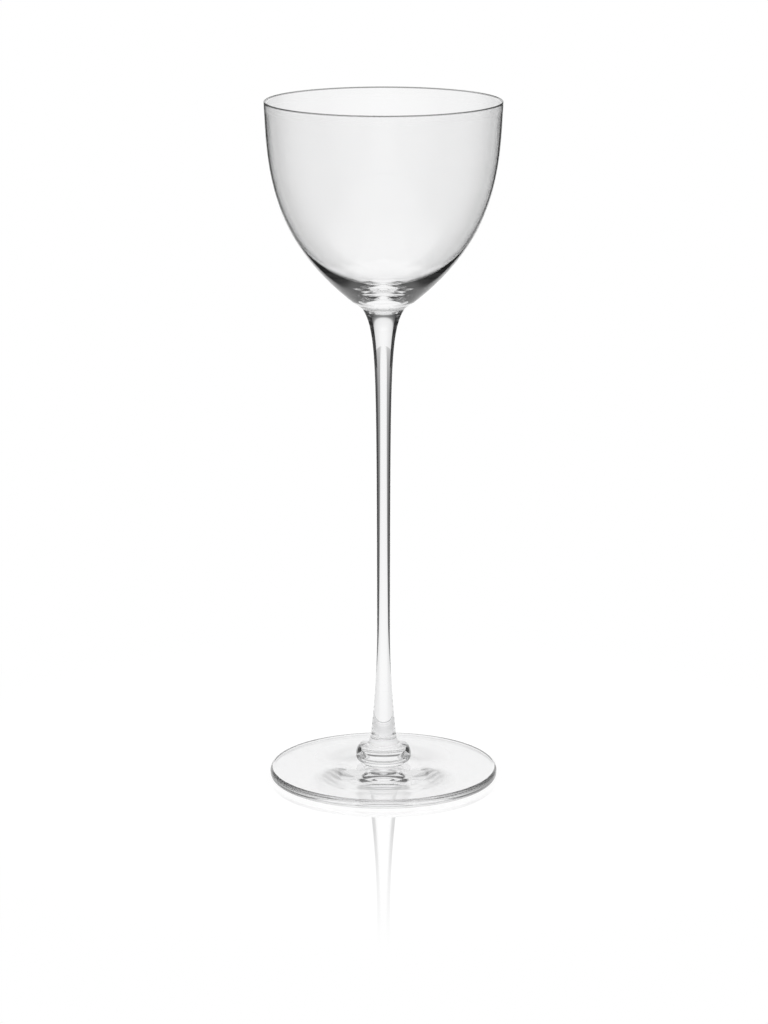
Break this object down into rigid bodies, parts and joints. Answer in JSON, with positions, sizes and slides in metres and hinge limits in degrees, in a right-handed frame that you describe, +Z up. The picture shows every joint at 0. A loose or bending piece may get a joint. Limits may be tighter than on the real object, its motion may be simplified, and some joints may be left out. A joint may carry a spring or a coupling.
{
  "type": "cordial glass",
  "caption": "Tall cordial glass of clear crystal: thin egg-shaped bowl, long slender drawn stem, low merese and round foot with a rounded edge.",
  "frame": {"origin": "middle of the underside of the foot, on the surface the glass stands on", "axes": "+Z up along the axis of revolution, from the foot to the lip; X and Y are alike"},
  "size_m": [0.062, 0.062, 0.1819],
  "materials": {
    "clear_crystal": "clear fire-polished crystal"
  },
  "bodies": {
    "root": {"foot": "clear_crystal", "merese": "clear_crystal", "stem": "clear_crystal", "bowl": "clear_crystal"}
  },
  "joints": []
}
